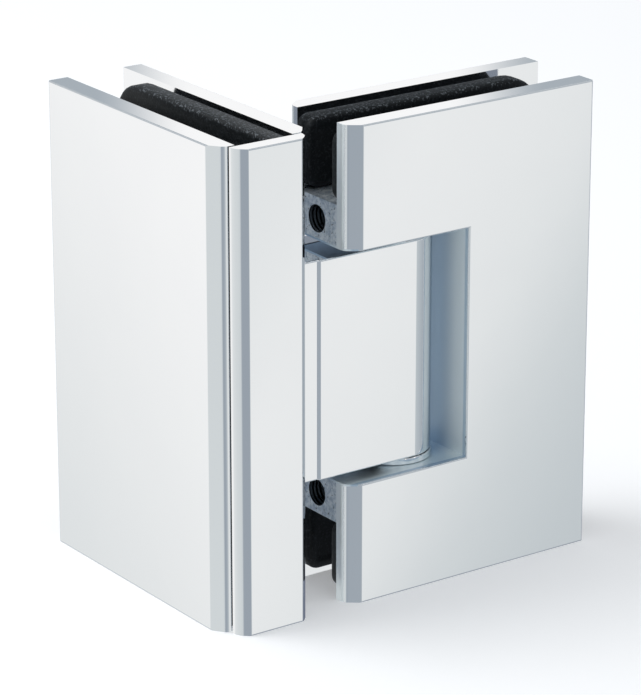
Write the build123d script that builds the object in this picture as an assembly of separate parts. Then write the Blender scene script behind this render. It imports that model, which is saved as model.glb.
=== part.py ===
"""Glass door hinge: a chromed hinge that joins two glass panels at a right angle.

The fixed leaf runs along +Y and clamps the fixed panel. The door leaf runs along +X and clamps the
door panel. The door leaf turns about a vertical pin in the fixed leaf's pivot block. The model is laid
out with the pin on the Z axis and the leaves' lower edges on Z = 0, and every piece is then moved so
that the origin is the middle of the whole hinge's footprint. All sizes are in millimetres.
"""

from build123d import *
import os

# ---- Both leaves -------------------------------------------------------------------------------
leaf_height = 90.0
leaf_length = 54.2
plate_thickness = 4.1
glass_thickness = 8.0
gasket_thickness = 2.0
bevel_along = 2.85  # bevel on a plate's outer edge beside the pivot, along its face
bevel_deep = 2.1  # and into its thickness
bevel_roll = 2.0  # radius that rolls the bevel over into the near edge
edge_round = 0.3  # softened edges of the polished plates
pair_gap = 0.05  # air between pieces that touch but are modelled apart
root_overlap = 0.5  # how deep a rib or a post is rooted in the wall that carries it
overshoot = 1.0  # how far a cut runs past the faces that it opens

slot_width = glass_thickness + 2 * gasket_thickness
leaf_thickness = slot_width + 2 * plate_thickness
half_leaf = leaf_thickness / 2
half_slot = slot_width / 2
mid_height = leaf_height / 2

# ---- Where the leaves stand beside the pin -------------------------------------------------------
door_near_x = -17.0  # door leaf's free edge beside the fixed leaf
fixed_centre_x = -33.4  # middle of the fixed leaf's thickness
fixed_near_y = -7.4  # fixed plates' edges behind the cap

# ---- Pivot block, cap and spine of the casting ---------------------------------------------------
block_radius = 6.85  # the block is twice this thick and its end is a half round about the pin
block_height = 41.4
block_face_x = -21.0  # the full-thickness face starts here
neck_step = 0.5
cap_depth = 3.1
cap_width = 15.1
cap_bevel_across = 2.0
cap_bevel_deep = 1.75
cap_bevel_roll = 2.8  # radius that rolls the bevel over into the cap's side
cap_gap = 0.5  # shadow gap between the cap and the plates' edges
spine_height = 36.0
spine_depth_y = 17.0
flange_height = 66.0
flange_depth = 2.5
flange_side_gap = 0.3
block_notch_gap = 0.3  # air round the block in the inner plate's notch

# ---- Door leaf's notch, rib and lugs -------------------------------------------------------------
notch_height = 44.0
notch_end_x = 9.4
rib_thickness = 5.0
lug_height = 8.0
rib_gap = 0.5  # the rib stops short of the back plate, so that the plates clamp on the glass
ear_x = 16.5
ear_radius = 5.5

# ---- Pivot ---------------------------------------------------------------------------------------
pin_radius = 4.0
pin_flat = 3.0  # distance from the pin's axis to its flats
running_gap = 0.05
bush_radius = 5.2
bush_length = 8.0
washer_radius = 7.1
washer_bevel = 0.15
pin_end_gap = 1.0  # the pin stops this far inside each lug's outer face
pin_end_bevel = 0.5
pin_flat_margin = 0.8  # from a bush's inner end to the pin's flats

# ---- Self-centring plungers and springs ----------------------------------------------------------
plunger_offset = 8.0  # above and below the middle of the block
plunger_radius = 3.5
plunger_length = 8.0
plunger_bevel = 0.4
spigot_radius = 1.8
spigot_length = 4.0
spring_outer_radius = 3.3
spring_wire_width = 1.2
spring_wire_height = 1.8
spring_turns = 4
plug_radius = 4.0
plug_length = 6.3
plug_back_inset = 1.5

# ---- Screws --------------------------------------------------------------------------------------
thread_gap = 0.03
post_along = 33.9  # from a plate's near edge to its clamp screws
clamp_screw_radius = 3.0
clamp_head_radius = 6.0
clamp_screw_length = 16.0
clamp_hole_floor = 2.5  # left under a face plate's blind hole
clamp_socket = 4.0
body_screw_radius = 2.5
body_head_radius = 5.0
body_screw_length = 14.6
body_hole_floor = 0.9
body_screw_y = 12.0
body_screw_offset = 10.0
body_socket = 3.0
screw_tip_bevel = 0.6
set_screw_radius = 2.5
set_screw_length = 8.0
set_screw_socket = 2.5
set_screw_bevel = 0.5
set_screw_bite = 0.5  # how far its tip reaches past the pin's round
seat_margin = 0.5  # the seat in the pin is this much longer than the tip, above and below
plug_socket = 4.0
socket_depth = 2.4
head_rim = 0.3  # short straight edge of a countersunk head
countersink_gap = 0.15
shank_clearance = 0.3

# ---- Gaskets -------------------------------------------------------------------------------------
gasket_length = 52.3
gasket_edge_inset = 1.75  # from the plates' upper and lower edges
gasket_near_round = 2.5
gasket_far_round = 7.0
gasket_rim_bevel = 0.7  # moulded rim on the glass side
gasket_cutout_length = 40.0
gasket_cutout_height = 64.0
gasket_cutout_round = 6.5
# Each gasket's distance from its plate's near edge.
door_front_gasket_inset = 0.1
door_back_gasket_inset = 0.9
fixed_gasket_inset = 1.6

# ---- Levels that several pieces share ------------------------------------------------------------
block_low = mid_height - block_height / 2
block_high = mid_height + block_height / 2
notch_low = mid_height - notch_height / 2
notch_high = mid_height + notch_height / 2
lug_centres = (notch_low - lug_height / 2, notch_high + lug_height / 2)
washer_thickness = block_low - notch_low - 2 * pair_gap
fixed_outer_x = fixed_centre_x - half_leaf
fixed_inner_x = fixed_centre_x + half_leaf
fixed_slot_low_x = fixed_centre_x - half_slot
fixed_slot_high_x = fixed_centre_x + half_slot
cap_back_y = fixed_near_y - cap_gap
cap_front_y = cap_back_y - cap_depth
post_y = fixed_near_y + post_along
plunger_levels = {"lower": mid_height - plunger_offset, "upper": mid_height + plunger_offset}
plunger_face_x = -(pin_radius + running_gap)
plunger_back_x = plunger_face_x - plunger_length
plug_face_x = fixed_slot_low_x + plug_back_inset + plug_length
set_screw_tip_x = -pin_radius + set_screw_bite
set_screw_seat = set_screw_tip_x + pair_gap

# The hinge's footprint, whose middle becomes the origin.
footprint_x = (fixed_outer_x, door_near_x + leaf_length)
footprint_y = (cap_front_y, fixed_near_y + leaf_length)
to_origin = Pos(-sum(footprint_x) / 2, -sum(footprint_y) / 2, 0)

nodes = {}


def block_between(low, high):
    """A box from its low corner to its high corner."""
    size = [b - a for a, b in zip(low, high)]
    return Pos(*low) * Box(*size, align=(Align.MIN, Align.MIN, Align.MIN))


def rod_z(radius, x, y, low, high):
    """A round bar along Z."""
    return Pos(x, y, low) * Cylinder(radius, high - low, align=(Align.CENTER, Align.CENTER, Align.MIN))


def rod_x(radius, low, high, y, z):
    """A round bar along X."""
    bar = Cylinder(radius, high - low, align=(Align.CENTER, Align.CENTER, Align.MIN))
    return Pos(low, y, z) * Rot(0, 90, 0) * bar


def rod_y(radius, x, low, high, z):
    """A round bar along Y."""
    bar = Cylinder(radius, high - low, align=(Align.CENTER, Align.CENTER, Align.MIN))
    return Pos(x, low, z) * Rot(-90, 0, 0) * bar


def hexagon_socket(across_flats, depth):
    """A hexagon key's hole, from Z = 0 down."""
    outline = RegularPolygon(across_flats / 2, 6, major_radius=False)
    return extrude(outline, amount=-depth)


def countersunk_screw(radius, head_radius, length, socket):
    """A 90 degree countersunk screw with its head's flat top on Z = 0 and its tip pointing down."""
    profile = Polyline(
        (0, 0),
        (head_radius, 0),
        (head_radius, -head_rim),
        (radius, -head_rim - head_radius + radius),
        (radius, screw_tip_bevel - length),
        (radius - screw_tip_bevel, -length),
        (0, -length),
        close=True,
    )
    body = revolve(Plane.XZ * make_face(profile), Axis.Z)
    return body - hexagon_socket(socket, socket_depth)


def socket_set_screw(radius, length, socket):
    """A headless screw with its socket in the top face on Z = 0 and its tip pointing down."""
    profile = Polyline(
        (0, 0),
        (radius - set_screw_bevel / 2, 0),
        (radius, -set_screw_bevel / 2),
        (radius, set_screw_bevel - length),
        (radius - set_screw_bevel, -length),
        (0, -length),
        close=True,
    )
    body = revolve(Plane.XZ * make_face(profile), Axis.Z)
    return body - hexagon_socket(socket, socket_depth)


def countersunk_hole(screw_radius, screw_head_radius, length):
    """The space that a countersunk screw needs, with its mouth on Z = 0."""
    mouth = screw_head_radius + countersink_gap
    shank = screw_radius + shank_clearance
    profile = Polyline(
        (0, overshoot),
        (mouth, overshoot),
        (mouth, -head_rim),
        (shank, -head_rim - mouth + shank),
        (shank, -length),
        (0, -length),
        close=True,
    )
    return revolve(Plane.XZ * make_face(profile), Axis.Z)


def leaf_plate(notch_length=0, notch_low=0, notch_high=0):
    """A clamp plate along +X with its outer face on Y = 0 and its near edge on X = 0.

    The near outer edge has the wide bevel, which polishing has rolled over into the near edge. The
    outer face's other edges are softened, those of the notch in the near edge included.
    """
    outline = Polyline(
        (bevel_along, 0),
        (leaf_length, 0),
        (leaf_length, plate_thickness),
        (0, plate_thickness),
        (0, bevel_deep),
        close=True,
    )
    profile = make_face(outline)
    rolled = [v for v in profile.vertices() if v.X < pair_gap and v.Y < bevel_deep + pair_gap]
    plate = extrude(fillet(rolled, bevel_roll), amount=leaf_height)
    if notch_length:
        plate -= block_between(
            (-overshoot, -overshoot, notch_low),
            (notch_length, plate_thickness + overshoot, notch_high),
        )
    outer_face = plate.faces().sort_by(Axis.Y)[0]
    return fillet(outer_face.edges(), edge_round)


def as_door_front(piece):
    """Places a plate from the common pattern on the door leaf's front."""
    return Pos(door_near_x, -half_leaf, 0) * piece


def as_door_back(piece):
    """Places a plate from the common pattern on the door leaf's back, as the front's mirror image."""
    return mirror(as_door_front(piece), about=Plane.XZ)


def as_fixed_outer(piece):
    """Places a plate from the common pattern on the fixed leaf's outside, with X and Y swapped."""
    swapped = mirror(Rot(0, 0, 90) * piece, about=Plane.YZ)
    return Pos(fixed_outer_x, fixed_near_y, 0) * swapped


def as_fixed_inner(piece):
    """Places a plate from the common pattern on the fixed leaf's inside."""
    turned = Rot(0, 0, 90) * piece
    return Pos(fixed_inner_x, fixed_near_y, 0) * turned


# ---- Door leaf's two plates ----------------------------------------------------------------------
door_plate = leaf_plate(notch_end_x - door_near_x, notch_low, notch_high)


def door_front_plate():
    """The notched face plate, cast in one with the U-shaped rib, its ears and the two pin lugs."""
    rib_front = -half_slot - root_overlap
    rib_back = half_slot - rib_gap
    rib = block_between(
        (door_near_x, rib_front, lug_centres[0] - lug_height / 2),
        (notch_end_x + rib_thickness, rib_back, lug_centres[1] + lug_height / 2),
    )
    for centre in lug_centres:
        low = centre - lug_height / 2
        high = centre + lug_height / 2
        rib += block_between((door_near_x, rib_front, low), (ear_x, rib_back, high))
        rib += rod_y(ear_radius, ear_x, rib_front, rib_back, centre)
    rib -= block_between(
        (door_near_x - overshoot, rib_front - overshoot, notch_low),
        (notch_end_x, rib_back + overshoot, notch_high),
    )
    casting = as_door_front(door_plate) + rib
    for centre in lug_centres:
        low = centre - lug_height / 2 - overshoot
        high = centre + lug_height / 2 + overshoot
        casting -= rod_z(pin_radius + thread_gap, 0, 0, low, high)
        casting -= rod_x(set_screw_radius, door_near_x - overshoot, 0, 0, centre)
        casting -= rod_y(
            clamp_screw_radius, ear_x, clamp_hole_floor - half_leaf, rib_back + overshoot, centre
        )
    return casting


def door_back_plate():
    """The notched clamp plate, with two countersunk holes for its screws."""
    plate = as_door_back(door_plate)
    hole = countersunk_hole(clamp_screw_radius, clamp_head_radius, plate_thickness + overshoot)
    for centre in lug_centres:
        plate -= Pos(ear_x, half_leaf, centre) * Rot(-90, 0, 0) * hole
    return plate


nodes["door_front_plate"] = door_front_plate()
nodes["door_back_plate"] = door_back_plate()


# ---- Fixed leaf's two plates ---------------------------------------------------------------------
def fixed_outer_plate():
    """The fixed leaf's face plate, with two cast posts that the clamp screws thread into."""
    plate = as_fixed_outer(leaf_plate())
    post_end = fixed_slot_high_x - rib_gap
    for centre in lug_centres:
        plate += rod_x(ear_radius, fixed_slot_low_x - root_overlap, post_end, post_y, centre)
        floor_x = fixed_outer_x + clamp_hole_floor
        plate -= rod_x(clamp_screw_radius, floor_x, post_end + overshoot, post_y, centre)
    for offset in (-body_screw_offset, body_screw_offset):
        floor_x = fixed_outer_x + body_hole_floor
        mouth_x = fixed_slot_low_x + overshoot
        plate -= rod_x(body_screw_radius, floor_x, mouth_x, body_screw_y, mid_height + offset)
    return plate


def fixed_inner_plate():
    """The fixed leaf's clamp plate, notched at its near edge for the pivot block."""
    notch_length = block_radius + block_notch_gap - fixed_near_y
    pattern = leaf_plate(notch_length, block_low - block_notch_gap, block_high + block_notch_gap)
    plate = as_fixed_inner(pattern)
    hole = countersunk_hole(clamp_screw_radius, clamp_head_radius, plate_thickness + overshoot)
    for centre in lug_centres:
        plate -= Pos(fixed_inner_x, post_y, centre) * Rot(0, 90, 0) * hole
    return plate


nodes["fixed_outer_plate"] = fixed_outer_plate()
nodes["fixed_inner_plate"] = fixed_inner_plate()


# ---- Rubber gaskets ------------------------------------------------------------------------------
def gasket(near):
    """A gasket along +X on the inner face of a plate from the common pattern.

    Its near corners have small rounds and its far corners large ones, and the glass side has a moulded
    rim. The deep cut-out at the near edge is the glass panel's own, and leaves room for the rib, the
    ears and the screws.
    """
    far = near + gasket_length
    height = leaf_height - 2 * gasket_edge_inset
    sheet = Pos((near + far) / 2, mid_height) * Rectangle(gasket_length, height)
    cutout = Pos(near, mid_height) * Rectangle(2 * gasket_cutout_length, gasket_cutout_height)
    sheet -= fillet(cutout.vertices(), gasket_cutout_round)
    sheet = fillet([v for v in sheet.vertices() if v.X < near + pair_gap], gasket_near_round)
    sheet = fillet([v for v in sheet.vertices() if v.X > far - pair_gap], gasket_far_round)
    solid = extrude(Plane.XZ * sheet, amount=-gasket_thickness)
    glass_side = solid.faces().sort_by(Axis.Y)[-1]
    solid = chamfer(glass_side.edges(), gasket_rim_bevel)
    return Pos(0, plate_thickness, 0) * solid


nodes["door_front_gasket"] = as_door_front(gasket(door_front_gasket_inset))
nodes["door_back_gasket"] = as_door_back(gasket(door_back_gasket_inset))
nodes["fixed_outer_gasket"] = as_fixed_outer(gasket(fixed_gasket_inset))
nodes["fixed_inner_gasket"] = as_fixed_inner(gasket(fixed_gasket_inset))


# ---- Hinge body: cap, spine and pivot block ------------------------------------------------------
def hinge_body():
    """The one-piece casting that closes the fixed leaf's near edge and carries the pivot.

    The bevelled cap covers the plates' edges over their whole height, and its bevels are rolled over
    into its sides. Behind it a narrow flange and the spine stand between the plates, where the glass
    is cut out. The block leaves the spine through the inner plate's notch, and ends in a half round
    about the pin.
    """
    half_cap = cap_width / 2
    cap_outline = Polyline(
        (fixed_centre_x - half_cap, cap_back_y),
        (fixed_centre_x - half_cap, cap_front_y + cap_bevel_deep),
        (fixed_centre_x - half_cap + cap_bevel_across, cap_front_y),
        (fixed_centre_x + half_cap - cap_bevel_across, cap_front_y),
        (fixed_centre_x + half_cap, cap_front_y + cap_bevel_deep),
        (fixed_centre_x + half_cap, cap_back_y),
        close=True,
    )
    cap_profile = make_face(cap_outline)
    rolled = [v for v in cap_profile.vertices() if cap_front_y + pair_gap < v.Y < cap_back_y - pair_gap]
    cap = extrude(fillet(rolled, cap_bevel_roll), amount=leaf_height)
    front_face = cap.faces().sort_by(Axis.Y)[0]
    cap = fillet(front_face.edges(), edge_round)

    half_flange = glass_thickness / 2 - flange_side_gap
    root_y = cap_back_y - root_overlap
    flange = block_between(
        (fixed_centre_x - half_flange, root_y, mid_height - flange_height / 2),
        (fixed_centre_x + half_flange, cap_back_y + flange_depth, mid_height + flange_height / 2),
    )
    spine = block_between(
        (fixed_slot_low_x + pair_gap, root_y, mid_height - spine_height / 2),
        (fixed_slot_high_x - pair_gap, spine_depth_y, mid_height + spine_height / 2),
    )

    neck_half = block_radius - neck_step
    block_outline = (
        Polyline(
            (0, block_radius),
            (block_face_x, block_radius),
            (block_face_x - neck_step, neck_half),
            (fixed_slot_high_x - root_overlap, neck_half),
            (fixed_slot_high_x - root_overlap, -neck_half),
            (block_face_x - neck_step, -neck_half),
            (block_face_x, -block_radius),
            (0, -block_radius),
        )
        + ThreePointArc((0, -block_radius), (block_radius, 0), (0, block_radius))
    )
    block = Pos(0, 0, block_low) * extrude(make_face(block_outline), amount=block_height)
    block = fillet(block.faces().sort_by(Axis.Z)[0].edges(), edge_round)
    block = fillet(block.faces().sort_by(Axis.Z)[-1].edges(), edge_round)

    casting = cap + flange + spine + block
    casting -= rod_z(bush_radius, 0, 0, block_low - overshoot, block_high + overshoot)
    for level in plunger_levels.values():
        casting -= rod_x(plunger_radius + running_gap, plug_face_x - overshoot, 0, 0, level)
        casting -= rod_x(plug_radius, fixed_slot_low_x - overshoot, plug_face_x + pair_gap, 0, level)
    hole = countersunk_hole(body_screw_radius, body_head_radius, slot_width + overshoot)
    for offset in (-body_screw_offset, body_screw_offset):
        seat = Pos(fixed_slot_high_x - pair_gap, body_screw_y, mid_height + offset)
        casting -= seat * Rot(0, 90, 0) * hole
    return casting


nodes["hinge_body"] = hinge_body()


# ---- Pivot: pin, bushes and thrust washers -------------------------------------------------------
def pivot_pin():
    """The pin, with four flats between the bushes and a seat for each set screw."""
    end_inset = lug_height - pin_end_gap
    low = notch_low - end_inset
    high = notch_high + end_inset
    pin = rod_z(pin_radius, 0, 0, low, high)
    pin = chamfer(pin.edges().filter_by(GeomType.CIRCLE), pin_end_bevel)
    flats_low = block_low + bush_length + pin_flat_margin
    flats_high = block_high - bush_length - pin_flat_margin
    square = block_between((-pin_flat, -pin_flat, flats_low), (pin_flat, pin_flat, flats_high))
    sleeve = rod_z(pin_radius + overshoot, 0, 0, flats_low, flats_high)
    pin -= sleeve - square
    half_seat = set_screw_radius + seat_margin
    for centre in lug_centres:
        pin -= block_between(
            (-pin_radius - overshoot, -pin_radius, centre - half_seat),
            (set_screw_seat, pin_radius, centre + half_seat),
        )
    return pin


nodes["pivot_pin"] = pivot_pin()

bush = rod_z(bush_radius - thread_gap, 0, 0, 0, bush_length)
bush -= rod_z(pin_radius + running_gap, 0, 0, -overshoot, bush_length + overshoot)
nodes["lower_bush"] = Pos(0, 0, block_low) * bush
nodes["upper_bush"] = Pos(0, 0, block_high - bush_length) * bush

washer = rod_z(washer_radius, 0, 0, 0, washer_thickness)
washer = chamfer(washer.edges().filter_by(GeomType.CIRCLE), washer_bevel)
washer -= rod_z(pin_radius + thread_gap, 0, 0, -overshoot, washer_thickness + overshoot)
nodes["lower_thrust_washer"] = Pos(0, 0, notch_low + pair_gap) * washer
nodes["upper_thrust_washer"] = Pos(0, 0, block_high + pair_gap) * washer


# ---- Self-centring plungers, springs and plugs ---------------------------------------------------
def plunger(level):
    """A plunger, with a spigot that guides the spring. Its flat face looks at the pin."""
    piece = rod_x(plunger_radius, plunger_back_x, plunger_face_x, 0, level)
    piece = chamfer(piece.edges().filter_by(GeomType.CIRCLE), plunger_bevel)
    return piece + rod_x(spigot_radius, plunger_back_x - spigot_length, plunger_back_x, 0, level)


def spring(level):
    """A die spring of rectangular wire between the plug and the plunger."""
    start_x = plug_face_x + pair_gap + spring_wire_height / 2
    end_x = plunger_back_x - pair_gap - spring_wire_height / 2
    length = end_x - start_x
    middle_radius = spring_outer_radius - spring_wire_width / 2
    path = Helix(pitch=length / spring_turns, height=length, radius=middle_radius)
    section_plane = Plane(origin=path @ 0, x_dir=(1, 0, 0), z_dir=(0, 1, 0))
    section = section_plane * Rectangle(spring_wire_width, spring_wire_height)
    coil = sweep(section, path=path, is_frenet=True)
    return Pos(start_x, 0, level) * Rot(0, 90, 0) * coil


def spring_plug(level):
    """A threaded plug that closes a spring bore, with its key hole towards the outer plate."""
    plug = socket_set_screw(plug_radius - thread_gap, plug_length, plug_socket)
    return Pos(plug_face_x - plug_length, 0, level) * Rot(0, -90, 0) * plug


for side, level in plunger_levels.items():
    nodes[side + "_plunger"] = plunger(level)
    nodes[side + "_spring"] = spring(level)
    nodes[side + "_spring_plug"] = spring_plug(level)


# ---- Screws --------------------------------------------------------------------------------------
clamp_screw = countersunk_screw(
    clamp_screw_radius - thread_gap, clamp_head_radius, clamp_screw_length, clamp_socket
)
body_screw = countersunk_screw(
    body_screw_radius - thread_gap, body_head_radius, body_screw_length, body_socket
)
set_screw = socket_set_screw(set_screw_radius - thread_gap, set_screw_length, set_screw_socket)

nodes["door_clamp_screws"] = Part() + [
    Pos(ear_x, half_leaf, centre) * Rot(-90, 0, 0) * clamp_screw for centre in lug_centres
]
nodes["fixed_clamp_screws"] = Part() + [
    Pos(fixed_inner_x, post_y, centre) * Rot(0, 90, 0) * clamp_screw for centre in lug_centres
]
nodes["body_screws"] = Part() + [
    Pos(fixed_slot_high_x - pair_gap, body_screw_y, mid_height + offset) * Rot(0, 90, 0) * body_screw
    for offset in (-body_screw_offset, body_screw_offset)
]
for side, centre in zip(("lower", "upper"), lug_centres):
    mouth_x = set_screw_tip_x - set_screw_length
    nodes[side + "_set_screw"] = Pos(mouth_x, 0, centre) * Rot(0, -90, 0) * set_screw


# ---- One STEP file for each node -----------------------------------------------------------------
os.makedirs("parts", exist_ok=True)
for name, piece in nodes.items():
    export_step(to_origin * piece, os.path.join("parts", name + ".step"))
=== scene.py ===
import math

import bmesh
import bpy
from mathutils import Matrix, Vector


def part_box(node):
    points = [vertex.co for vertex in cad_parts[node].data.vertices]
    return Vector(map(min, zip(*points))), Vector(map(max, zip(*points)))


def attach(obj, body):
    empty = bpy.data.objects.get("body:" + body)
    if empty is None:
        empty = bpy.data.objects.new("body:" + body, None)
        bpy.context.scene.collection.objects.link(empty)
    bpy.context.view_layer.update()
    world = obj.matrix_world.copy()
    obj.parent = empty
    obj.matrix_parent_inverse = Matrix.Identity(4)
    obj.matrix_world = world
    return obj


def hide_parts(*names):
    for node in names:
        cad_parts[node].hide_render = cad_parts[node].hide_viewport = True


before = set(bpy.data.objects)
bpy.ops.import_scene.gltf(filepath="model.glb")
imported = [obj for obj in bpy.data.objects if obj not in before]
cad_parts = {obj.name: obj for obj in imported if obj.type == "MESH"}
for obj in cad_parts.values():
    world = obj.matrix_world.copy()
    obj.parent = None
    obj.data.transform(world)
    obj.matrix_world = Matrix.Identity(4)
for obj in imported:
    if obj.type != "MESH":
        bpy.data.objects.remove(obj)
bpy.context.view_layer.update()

# ---- Fixed leaf's outer plate ---------------------------------------------------------------------
# The face plate of the fixed leaf, with two cast posts for the clamp screws. It is brass, polished on
# every outside face and chrome plated; the posts behind it are plated as they came from the mould.
mm = 0.001
thread_pitch = 0.8 * mm
thread_flank = 0.8  # How much a thread's flank rises for each unit along the hole.
# How far most masks reach past the face that they mark off, and how near counts as the same place.
skin_depth = 0.1 * mm


class Value:
    """A shader socket that takes part in arithmetic. Each operator adds one Math node."""

    def __init__(self, nodes, socket):
        self.nodes = nodes
        self.socket = socket

    def __add__(self, other):
        return self.nodes.maths("ADD", self, other)

    def __radd__(self, other):
        return self.nodes.maths("ADD", other, self)

    def __sub__(self, other):
        return self.nodes.maths("SUBTRACT", self, other)

    def __rsub__(self, other):
        return self.nodes.maths("SUBTRACT", other, self)

    def __mul__(self, other):
        return self.nodes.maths("MULTIPLY", self, other)

    def __rmul__(self, other):
        return self.nodes.maths("MULTIPLY", other, self)

    def __lt__(self, other):
        return self.nodes.maths("LESS_THAN", self, other)

    def __gt__(self, other):
        return self.nodes.maths("GREATER_THAN", self, other)

    def __abs__(self):
        return self.nodes.maths("ABSOLUTE", self)


class Nodes:
    """The node tree of one material or of the world."""

    def __init__(self, owner):
        owner.use_nodes = True
        self.tree = owner.node_tree
        self.tree.nodes.clear()

    def add(self, kind, settings, sockets, output=0):
        """Adds a node, with its settings first and then its sockets, and gives one of its outputs.

        A socket or an output goes by its name or its place. A node without outputs is returned itself.
        """
        node = self.tree.nodes.new("ShaderNode" + kind)
        for name, setting in settings.items():
            if name == "stops":
                elements = node.color_ramp.elements
                elements[0].position, elements[-1].position = setting[0][0], setting[-1][0]
                for position, colour in setting:
                    found = [element for element in elements if element.position == position]
                    (found[0] if found else elements.new(position)).color = colour
            else:
                setattr(node, name, setting)
        for name, value in sockets.items():
            if isinstance(value, Value):
                self.tree.links.new(value.socket, node.inputs[name])
            else:
                node.inputs[name].default_value = value
        return Value(self, node.outputs[output]) if node.outputs else node

    def maths(self, operation, *values):
        return self.add("Math", {"operation": operation}, dict(enumerate(values)))

    def parts(self, vector):
        """The X, Y and Z of a vector."""
        split = self.add("SeparateXYZ", {}, {0: vector}).socket.node
        return [Value(self, output) for output in split.outputs]

    def place(self):
        """Object coordinates, in metres from the model's origin, and their three parts."""
        point = self.add("TexCoord", {}, {}, "Object")
        return point, self.parts(point)

    def noise(self, point, size, detail=2.0, roughness=0.5):
        """Cloudy noise from 0 to 1 whose patches are about this size."""
        sockets = {"Vector": point, "Scale": 1 / size, "Detail": detail, "Roughness": roughness}
        return self.add("TexNoise", {}, sockets, "Fac")

    def between(self, factor, low, high):
        """A colour from low to high as the factor goes from 0 to 1."""
        return self.add("Mix", {"data_type": "RGBA"}, {0: factor, 6: low, 7: high}, 2)

    def ramp(self, value, start, end):
        """0 at the start, 1 at the end and past it, and smooth between them. Either may be larger."""
        settings = {"interpolation_type": "SMOOTHSTEP"}
        return self.add("MapRange", settings, {0: value, 1: start, 2: end})

    def bump(self, height):
        """A normal for a height in metres."""
        return self.add("Bump", {}, {"Height": height, "Distance": 1.0, "Strength": 1.0})


def new_finish(name):
    """A new material with its node tree."""
    material = bpy.data.materials.new(name)
    return material, Nodes(material)


def surface(nodes, **sockets):
    """Ends a material in one Principled shader, whose socket names are written with underscores."""
    named = {name.replace("_", " "): value for name, value in sockets.items()}
    shader = nodes.add("BsdfPrincipled", {}, named)
    nodes.add("OutputMaterial", {}, {"Surface": shader})


def dress(node, material):
    """Gives a CAD node its finish."""
    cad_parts[node].material_slots[0].material = material


def chrome(name, cast=None, satin=None, tapped=None):
    """Polished chrome plate: a mirror with a trace of polishing waves and wiping marks.

    cast gives 1 where the plate lies on rough casting with small dark pits. satin gives 1 where it is
    only brushed, because no polishing wheel reaches in there, then how much painted shade darkens the
    brushing and where it is matt. tapped gives 1 where a thread is cut, darkened with painted shade,
    and then how far along its hole.
    """
    material, nodes = new_finish(name)
    point, place = nodes.place()
    smears = nodes.noise(point, size=14 * mm, detail=3.0)
    colour = nodes.between(smears, (0.92, 0.925, 0.93, 1), (0.90, 0.905, 0.915, 1))
    roughness = 0.025 + 0.04 * smears
    height = nodes.noise(point, size=9 * mm, detail=1.0) * (0.003 * mm)
    metallic = 1.0
    if satin:
        brushed, painted_shade, matt = satin(nodes, *place)
        marks = nodes.noise(point, size=1.2 * mm, detail=3.0)
        # The brushed colour turns to a darker, bluer grey where painted shade lies: the notch's depths
        # and its lip.
        tone = nodes.between(painted_shade, (0.90, 0.98, 1.0, 1), (0.42, 0.56, 0.70, 1))
        colour = nodes.between(brushed, colour, tone)
        roughness = roughness + brushed * (0.34 + 0.08 * marks)
        height = height + brushed * marks * (0.01 * mm)
        metallic = 1 - 0.5 * matt
    if cast:
        rough = cast(nodes, *place)
        grain = nodes.noise(point, size=0.9 * mm, detail=5.0, roughness=0.65)
        pits = nodes.ramp(nodes.noise(point, size=0.6 * mm, roughness=0.6), 0.38, 0.30)
        skin = nodes.ramp(grain, 0.35, 0.65)
        skin = nodes.between(skin, (0.54, 0.62, 0.70, 1), (0.92, 0.97, 1.0, 1))
        skin = nodes.between(pits, skin, (0.03, 0.035, 0.04, 1))
        colour = nodes.between(rough, colour, skin)
        roughness = roughness + rough * (0.30 + 0.2 * grain)
        height = height + rough * (grain * (0.22 * mm) - pits * (0.2 * mm))
    if tapped:
        thread, along = tapped(nodes, *place)
        # The thread's walls are darkened with painted shade, the shade inside the hole.
        colour = nodes.between(thread, colour, (0.05, 0.06, 0.07, 1))
        ridge = nodes.maths("PINGPONG", along, thread_pitch / 2)
        height = height + thread * ridge * thread_flank
    surface(nodes, Base_Color=colour, Metallic=metallic, Roughness=roughness, Normal=nodes.bump(height))
    return material


outer_low, outer_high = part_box("fixed_outer_plate")
inner_low, inner_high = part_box("fixed_inner_plate")
plate_thickness = inner_high.x - inner_low.x
polished_chrome = chrome("polished_chrome")
posts_x = outer_low.x + plate_thickness + skin_depth
dress("fixed_outer_plate", chrome("plated_posts", cast=lambda nodes, x, y, z: x > posts_x))

# ---- Fixed leaf's inner plate ---------------------------------------------------------------------
# The clamp plate on the inside of the corner, of the same plated brass. It is notched at its near
# edge for the pivot block and countersunk for the two clamp screws.
dress("fixed_inner_plate", polished_chrome)

# ---- Hinge body -----------------------------------------------------------------------------------
# One brass casting: the bevelled cap that closes the fixed leaf, the spine between its plates, and the
# pivot block. The cap and the block are polished and plated as the plates are, and the spine is rough.
spine_y = outer_low.y
spine_x = inner_low.x
dress(
    "hinge_body",
    chrome("plated_body", cast=lambda nodes, x, y, z: (x < spine_x) * (y > spine_y)),
)

# ---- Fixed leaf's gaskets -------------------------------------------------------------------------
# Two sheets of black rubber that keep the metal off the glass. Each is moulded with a raised rim round
# its outline and lies loose between its plate and the glass, held by the clamp screws alone.
gasket_near_round = 2.5 * mm
gasket_far_round = 7.0 * mm
# How far in from the near edge the cut-out and its narrower mouth reach, and how high they are.
gasket_cutout = Vector((40.0, 64.0)) * mm
gasket_mouth = Vector((26.0, 60.2)) * mm
gasket_cutout_round = 6.5 * mm
gasket_rim_round = 0.7 * mm
gasket_rim_width = 0.9 * mm
gasket_rim_height = 0.25 * mm
gasket_rim_slope = 0.5 * mm
# A painted highlight of pale speckles lies on the gaskets' top edges. It is a ramp, from little to
# much, over the depth below the plates' tops.
highlight_reach = (2.8 * mm, 2.0 * mm)


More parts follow.
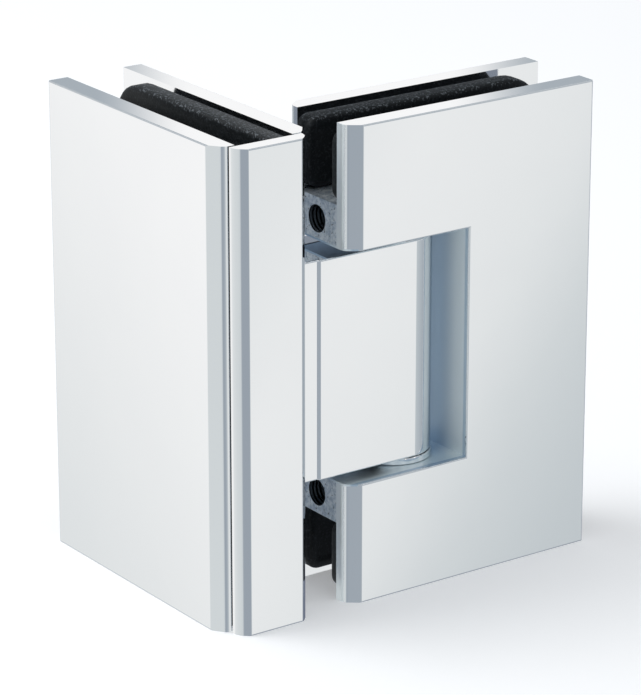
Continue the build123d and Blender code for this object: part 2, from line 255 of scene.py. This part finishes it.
def rubber():
    """Black sheet rubber with a fine felted grain and pale speckles painted as a highlight on its top
    edges.
    """
    material, nodes = new_finish("gasket_rubber")
    point, place = nodes.place()
    grain = nodes.noise(point, size=0.35 * mm, detail=3.0, roughness=0.7)
    clouds = nodes.noise(point, size=5 * mm)
    highlight_speckles = nodes.ramp(nodes.noise(point, size=0.45 * mm, detail=1.0), 0.54, 0.68)
    highlit_top = nodes.ramp(place[2], outer_high.z - highlight_reach[0], outer_high.z - highlight_reach[1])
    felted = nodes.ramp(grain, 0.4, 0.75)
    sheet = nodes.between(felted, (0.004, 0.005, 0.006, 1), (0.014, 0.018, 0.021, 1))
    sheet = nodes.between(clouds * 0.5, sheet, (0.006, 0.009, 0.011, 1))
    surface(
        nodes,
        # The pale speckles near the plates' tops are a painted highlight on the gaskets' top edges.
        Base_Color=nodes.between(highlight_speckles * (0.10 + 0.55 * highlit_top), sheet, (0.16, 0.18, 0.20, 1)),
        Roughness=0.42 + 0.2 * grain,
        Specular_IOR_Level=0.22,
        Normal=nodes.bump(grain * (0.05 * mm)),
    )
    return material


gasket_rubber = rubber()


def round_corners(shape, chosen, radius):
    """Rounds the chosen corners of a flat outline."""
    bmesh.ops.bevel(
        shape,
        geom=[corner for corner in shape.verts if chosen(corner.co)],
        affect="VERTICES",
        offset=radius,
        segments=8,
        profile=0.5,
        material=-1,
    )


def gasket(node, body, along, across):
    """Moulds a gasket where its CAD node lies.

    The outline is drawn flat, with X along the leaf from its near edge and Y up, and its glass side
    looks along Z. It is then turned so that X lies along the leaf and Z points across, to the glass.
    """
    low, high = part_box(node)
    size = high - low
    length = abs(size.dot(along))
    thickness = abs(size.dot(across))
    # How much of the sheet is left above and below the mouth, and above and below the cut-out.
    mouth = (size.z - gasket_mouth.y) / 2
    arm = (size.z - gasket_cutout.y) / 2
    shape = bmesh.new()
    outline = (
        (0, 0),
        (length, 0),
        (length, size.z),
        (0, size.z),
        (0, size.z - mouth),
        (gasket_mouth.x, size.z - mouth),
        (gasket_mouth.x, size.z - arm),
        (gasket_cutout.x, size.z - arm),
        (gasket_cutout.x, arm),
        (gasket_mouth.x, arm),
        (gasket_mouth.x, mouth),
        (0, mouth),
    )
    shape.faces.new([shape.verts.new((x, y, 0)) for x, y in outline])
    inside = gasket_cutout.x
    round_corners(shape, lambda corner: corner.x == 0, gasket_near_round)
    round_corners(shape, lambda corner: abs(corner.x - length) < skin_depth, gasket_far_round)
    round_corners(shape, lambda corner: abs(corner.x - inside) < skin_depth, gasket_cutout_round)
    raised = bmesh.ops.extrude_face_region(shape, geom=shape.faces[:])["geom"]
    bmesh.ops.translate(
        shape,
        verts=[part for part in raised if isinstance(part, bmesh.types.BMVert)],
        vec=(0, 0, thickness),
    )
    bmesh.ops.recalc_face_normals(shape, faces=shape.faces)
    top = max(shape.faces, key=lambda face: face.calc_center_median().z)
    bmesh.ops.bevel(
        shape,
        geom=top.edges[:],
        affect="EDGES",
        offset=gasket_rim_round,
        segments=3,
        profile=0.5,
        material=-1,
    )
    for width, depth in ((gasket_rim_width, 0), (gasket_rim_slope, -gasket_rim_height)):
        tops = [face for face in shape.faces if face.normal.z > 0.9]
        middle = max(tops, key=lambda face: face.calc_area())
        bmesh.ops.inset_region(shape, faces=[middle], thickness=width, depth=depth)
    corner = Vector([low[i] if (along + across)[i] >= 0 else high[i] for i in range(3)])
    turned = Matrix((along, (0, 0, 1), across)).transposed().to_4x4()
    bmesh.ops.transform(shape, matrix=Matrix.Translation(corner) @ turned, verts=shape.verts)
    bmesh.ops.recalc_face_normals(shape, faces=shape.faces)
    mesh = bpy.data.meshes.new(node + "_sheet")
    shape.to_mesh(mesh)
    shape.free()
    mesh.shade_smooth()
    mesh.set_sharp_from_angle(angle=math.radians(40))
    mesh.materials.append(gasket_rubber)
    piece = bpy.data.objects.new(node + "_sheet", mesh)
    bpy.context.scene.collection.objects.link(piece)
    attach(piece, body)
    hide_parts(node)


east = Vector((1, 0, 0))
north = Vector((0, 1, 0))
gasket("fixed_outer_gasket", "fixed_leaf", north, east)
gasket("fixed_inner_gasket", "fixed_leaf", north, -east)

# ---- Fixed leaf's screws --------------------------------------------------------------------------
# Satin stainless countersunk screws: two clamp the inner plate on the glass, and two hold the spine
# to the outer plate.


def satin_steel(name, tint, roughness):
    """Turned or ground steel with fine marks."""
    material, nodes = new_finish(name)
    point, _ = nodes.place()
    marks = nodes.noise(point, size=0.4 * mm, detail=4.0)
    surface(
        nodes,
        Base_Color=nodes.between(marks, (*tint, 1), [*[0.85 * part for part in tint], 1]),
        Metallic=1.0,
        Roughness=roughness + 0.12 * marks,
        Normal=nodes.bump(marks * (0.004 * mm)),
    )
    return material


screw_steel = satin_steel("screw_steel", (0.62, 0.63, 0.65), 0.22)
dress("fixed_clamp_screws", screw_steel)
dress("body_screws", screw_steel)

# ---- Self-centring works --------------------------------------------------------------------------
# Above and below the middle of the block, a die spring stands between a threaded plug and a ground
# plunger that bears on the pin's flats. The pin turns in two brass bushes pressed into the block.
pin_steel = satin_steel("pin_steel", (0.5, 0.51, 0.53), 0.16)
spring_steel = satin_steel("spring_steel", (0.3, 0.31, 0.33), 0.32)
bearing_brass = satin_steel("bearing_brass", (0.72, 0.55, 0.28), 0.22)
for side in ("upper", "lower"):
    dress(side + "_plunger", pin_steel)
    dress(side + "_spring", spring_steel)
    dress(side + "_spring_plug", screw_steel)
    dress(side + "_bush", bearing_brass)

# ---- Door leaf's front plate ----------------------------------------------------------------------
# The notched face plate with its rib, ears and pin lugs, one brass casting. The outside is polished
# and plated, the notch is brushed, and the rib and lugs behind the face keep their rough skin.
front_low, front_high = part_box("door_front_plate")
notch_bottom_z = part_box("lower_thrust_washer")[0].z
notch_length = 26.4 * mm
rib_y = front_low.y + plate_thickness + skin_depth
middle_z = front_high.z / 2
notch_half = middle_z - notch_bottom_z + 4 * skin_depth
notch_end_x = front_low.x + notch_length + 4 * skin_depth
notch_lip_y = front_low.y + 5 * skin_depth
# The lip's painted shade and the notch's are ramps over the depth below the plate's face. The end
# wall's matt finish is a ramp over what is left to the notch's end. Each goes from none to full.
lip_shade = (1.5 * mm, 1.1 * mm)
lip_strength = 0.7
notch_shade = (3.0 * mm, 9.0 * mm)
matt_reach = (3.0 * mm, 1.0 * mm)
near_end_brushing = 0.8


def door_notch(nodes, x, y, z):
    """The walls of the notch, from just inside its lip."""
    return (x < notch_end_x) * (abs(z - middle_z) < notch_half) * (y > notch_lip_y)


def door_satin(nodes, x, y, z):
    """Where the brushed finish lies, how much painted shade darkens it, and where it is matt.

    The notch gets painted shade in its depths and at its lip. The plate's near end is brushed too,
    though less, and both that end and the notch's end wall are matt.
    """
    near_end = nodes.ramp(x, front_low.x + 4 * skin_depth, front_low.x + skin_depth) * (y < rib_y)
    notch = door_notch(nodes, x, y, z)
    depths = nodes.ramp(y, front_low.y + notch_shade[0], front_low.y + notch_shade[1])
    lip = nodes.ramp(y, front_low.y + lip_shade[0], front_low.y + lip_shade[1]) * (1 - near_end)
    end_wall = notch * nodes.ramp(x, notch_end_x - matt_reach[0], notch_end_x - matt_reach[1])
    brushed = nodes.maths("MAXIMUM", notch, near_end_brushing * near_end)
    painted_shade = nodes.maths("MAXIMUM", depths, lip_strength * lip)
    return brushed, painted_shade, nodes.maths("MAXIMUM", end_wall, near_end)


def door_cast(nodes, x, y, z):
    """The lugs, the rib and all else that stands behind the face plate, outside the notch."""
    return (y > rib_y) * (1 - door_notch(nodes, x, y, z))


def door_tapped(nodes, x, y, z):
    """The walls of the lugs' holes for the set screws, and how far along the hole."""
    across = y - hole_middle.y
    upright = abs(z - middle_z) - (hole_middle.z - middle_z)
    from_axis = nodes.maths("SQRT", across * across + upright * upright)
    return (from_axis < hole_radius + skin_depth) * (x < hole_end_x), x


screw_low, screw_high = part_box("upper_set_screw")
hole_middle = (screw_low + screw_high) / 2
hole_radius = (screw_high.z - screw_low.z) / 2
hole_end_x = screw_high.x
dress(
    "door_front_plate",
    chrome("plated_door_casting", cast=door_cast, satin=door_satin, tapped=door_tapped),
)

# ---- Door leaf's back plate -----------------------------------------------------------------------
# The clamp plate behind the door's glass, of the same plated brass. It is notched for the pivot block,
# as the front plate is, and countersunk for the two clamp screws.
dress("door_back_plate", polished_chrome)

# ---- Door leaf's gaskets --------------------------------------------------------------------------
# The same two sheets of black rubber as in the fixed leaf, each between its plate and the door's
# glass. The clamp screws hold them.
gasket("door_front_gasket", "door_leaf", east, north)
gasket("door_back_gasket", "door_leaf", east, -north)

# ---- Door leaf's screws ---------------------------------------------------------------------------
# Two satin stainless countersunk screws clamp the back plate on the glass. A set screw of blackened
# steel, sunk in each lug's end face, holds the pin.
dress("door_clamp_screws", screw_steel)
black_steel = satin_steel("black_steel", (0.02, 0.022, 0.025), 0.35)
for side in ("upper", "lower"):
    dress(side + "_set_screw", black_steel)

# ---- Pivot pin and thrust washers -----------------------------------------------------------------
# A ground steel pin stands in the lugs and through the block, with a plated washer at each end of
# the block.
dress("pivot_pin", pin_steel)
for side in ("upper", "lower"):
    dress(side + "_thrust_washer", polished_chrome)

# ---- Floor ----------------------------------------------------------------------------------------
# A wide pale floor under the hinge. The hinge's mirror faces look past it at the tent's wall.
floor_side = 6.0
shape = bmesh.new()
bmesh.ops.create_grid(shape, x_segments=1, y_segments=1, size=floor_side / 2)
floor_mesh = bpy.data.meshes.new("floor")
shape.to_mesh(floor_mesh)
shape.free()
floor = bpy.data.objects.new("floor", floor_mesh)
bpy.context.scene.collection.objects.link(floor)
floor_paint, nodes = new_finish("floor_paint")
seen = nodes.add("LightPath", {}, {}, "Is Camera Ray")
mirrored = nodes.add("LightPath", {}, {}, "Is Glossy Ray")
matt = nodes.add("BsdfDiffuse", {}, {"Color": (0.8, 0.81, 0.82, 1)})
glow = nodes.add("Emission", {}, {"Color": (0.98, 0.99, 1, 1), "Strength": seen * 0.28})
paper = nodes.add("AddShader", {}, {0: matt, 1: glow})
clear = nodes.add("BsdfTransparent", {}, {})
both = nodes.add("MixShader", {}, {0: mirrored, 1: paper, 2: clear})
nodes.add("OutputMaterial", {}, {"Surface": both})
floor_mesh.materials.append(floor_paint)

# ---- Soft studio light ----------------------------------------------------------------------------
# An even white dome and one large soft lamp light the hinge. Its polished faces show a white tent
# with a grey opening behind the camera, another beyond the hinge, and bright strips overhead.
world = bpy.data.worlds.new("studio")
bpy.context.scene.world = world
nodes = Nodes(world)


def panel_grey(level):
    """The tent's white at a level of 1, and a bluer grey below it."""
    shade = 1 - level
    return (level * (1 - 0.52 * shade**1.5), level * (1 - 0.5 * shade**2.5), level, 1)


# How light the tent's wall is, by its bearing from +X in degrees.
wall_levels = (
    (-180, 0.74),
    (-164, 0.73),
    (-151, 0.70),
    (-147, 0.46),
    (-138, 0.435),
    (-127, 0.455),
    (-116, 0.52),
    (-100, 0.82),
    (-75, 0.85),
    (-58, 0.83),
    (-56.3, 0.86),
    (-55, 0.905),
    (-52.2, 0.86),
    (-51.2, 0.75),
    (-49, 0.64),
    (-42, 0.56),
    (-20, 0.45),
    (5, 0.33),
    (40, 0.20),
    (65, 0.45),
    (110, 0.76),
    (119.5, 0.82),
    (121.2, 0.89),
    (124.5, 1.00),
    (135, 0.98),
    (150, 0.80),
    (180, 0.74),
)
direction = nodes.add("TexCoord", {}, {}, "Generated")
x, y, z = nodes.parts(direction)
bearing = nodes.maths("ARCTAN2", y, x)
# The white panels lean about the eye line, where a ray from the camera runs once an upright face has
# mirrored it, so that each face is a little uneven from top to bottom.
lean = 0.58
panel_bearing = math.radians(125)
eye_line = -0.326
leaning = bearing + lean * nodes.maths("COSINE", bearing - panel_bearing) * (z - eye_line)
stops = [((degrees + 180) / 360, panel_grey(level)) for degrees, level in wall_levels]
wall = nodes.add("ValToRGB", {"stops": stops}, {0: leaning * (0.5 / math.pi) + 0.5})
# Overhead, bright strips run out at even bearings over a grey ceiling, and their edges are soft.
strip_spacing = math.radians(30)
strip_bearing = math.radians(54.7)
strip_edge = (math.radians(2.0), math.radians(3.6))
beside_strip = nodes.maths("PINGPONG", bearing - strip_bearing, strip_spacing / 2)
ceiling = nodes.between(nodes.ramp(beside_strip, *strip_edge), panel_grey(1.0), panel_grey(0.5))
# The wall gives way to the ceiling as a ray turns from level to a little upwards.
wall_top = (-0.02, 0.12)
panels = nodes.between(nodes.ramp(z, *wall_top), wall, ceiling)
dome = nodes.add("Background", {}, {"Color": (0.95, 0.97, 1, 1), "Strength": 0.6})
tent = nodes.add("Background", {}, {"Color": panels})
mirrored = nodes.add("LightPath", {}, {}, "Is Glossy Ray")
nodes.add("OutputWorld", {}, {"Surface": nodes.add("MixShader", {}, {0: mirrored, 1: dome, 2: tent})})

lamp = bpy.data.lights.new("key_lamp", "AREA")
lamp.size = 0.7
lamp.energy = 6.0
lamp_object = bpy.data.objects.new("key_lamp", lamp)
lamp_object.location = (-0.5, 0.35, 0.9)
lamp_object.rotation_euler = (-lamp_object.location).to_track_quat("-Z", "Y").to_euler()
bpy.context.scene.collection.objects.link(lamp_object)

# ---- Camera ---------------------------------------------------------------------------------------
# The camera looks down on the corner from in front of the fixed leaf. Its lens is long, so that the
# upright edges stay nearly parallel.
camera_target = Vector((-11.03, -15.00, 45.39)) * mm
camera_azimuth = math.radians(-35.31)
camera_elevation = math.radians(19.32)
camera_distance = 672.8 * mm
towards_camera = Vector(
    (
        math.sin(camera_azimuth) * math.cos(camera_elevation),
        -math.cos(camera_azimuth) * math.cos(camera_elevation),
        math.sin(camera_elevation),
    )
)
camera_data = bpy.data.cameras.new("camera")
camera_data.lens = 193.4
camera_data.sensor_width = 36.0
camera = bpy.data.objects.new("camera", camera_data)
camera.location = camera_target + camera_distance * towards_camera
camera.rotation_euler = (-towards_camera).to_track_quat("-Z", "Y").to_euler()
bpy.context.scene.collection.objects.link(camera)
bpy.context.scene.camera = camera
bpy.context.scene.view_settings.view_transform = "Standard"
